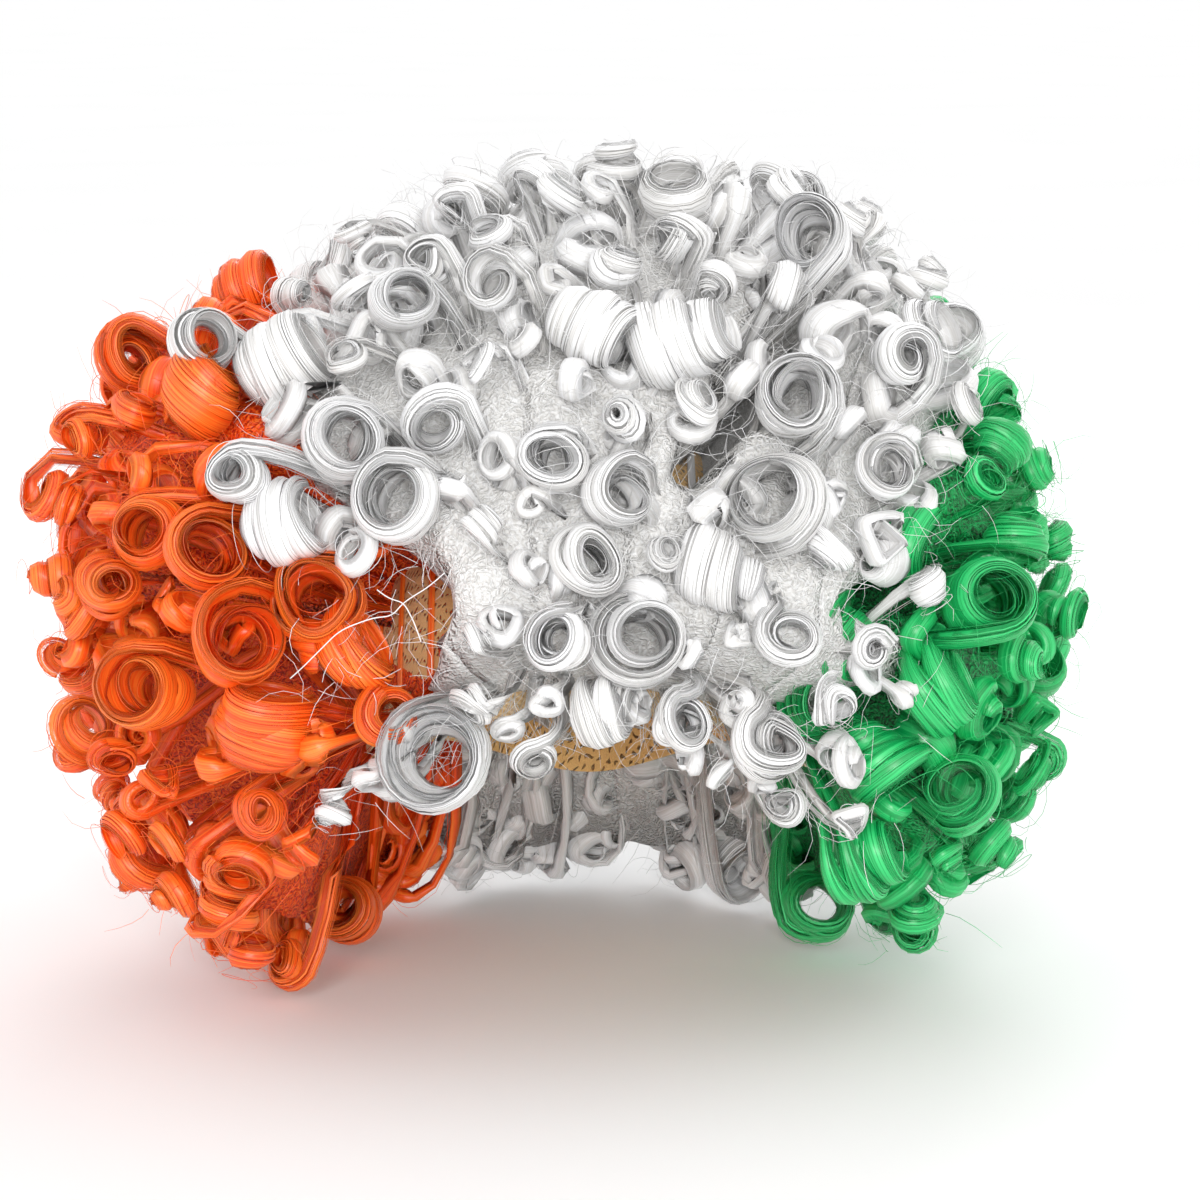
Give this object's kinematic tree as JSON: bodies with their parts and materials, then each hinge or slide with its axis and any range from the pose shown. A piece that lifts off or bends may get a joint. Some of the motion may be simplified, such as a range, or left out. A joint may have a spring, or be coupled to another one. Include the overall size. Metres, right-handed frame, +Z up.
{
  "type": "festival wig",
  "caption": "Curly festival wig in orange, white and green: a knitted cap with an elastic rim band, and sewn wefts of springy ringlets that stand out round the head.",
  "frame": {"origin": "inside of the cap at the crown, where the top of the wearer's head bears", "axes": "+Z up, -Y the way the face looks, +X towards the wearer's left, which is the green side"},
  "size_m": [0.371, 0.3248, 0.296],
  "materials": {
    "cap_knit": "golden-tan openwork knit",
    "rim_elastic": "pale tan woven elastic",
    "hair_orange": "shiny synthetic fibre",
    "hair_white": "shiny synthetic fibre",
    "hair_green": "shiny synthetic fibre"
  },
  "bodies": {
    "root": {"cap": "cap_knit", "rim_band": "rim_elastic", "weft_orange_1": "hair_orange", "weft_orange_2": "hair_orange", "weft_orange_3": "hair_orange", "weft_orange_4": "hair_orange", "weft_white_1": "hair_white", "weft_white_2": "hair_white", "weft_white_3": "hair_white", "weft_white_4": "hair_white", "weft_white_5": "hair_white", "weft_white_6": "hair_white", "weft_green_1": "hair_green", "weft_green_2": "hair_green", "weft_green_3": "hair_green"}
  },
  "joints": []
}
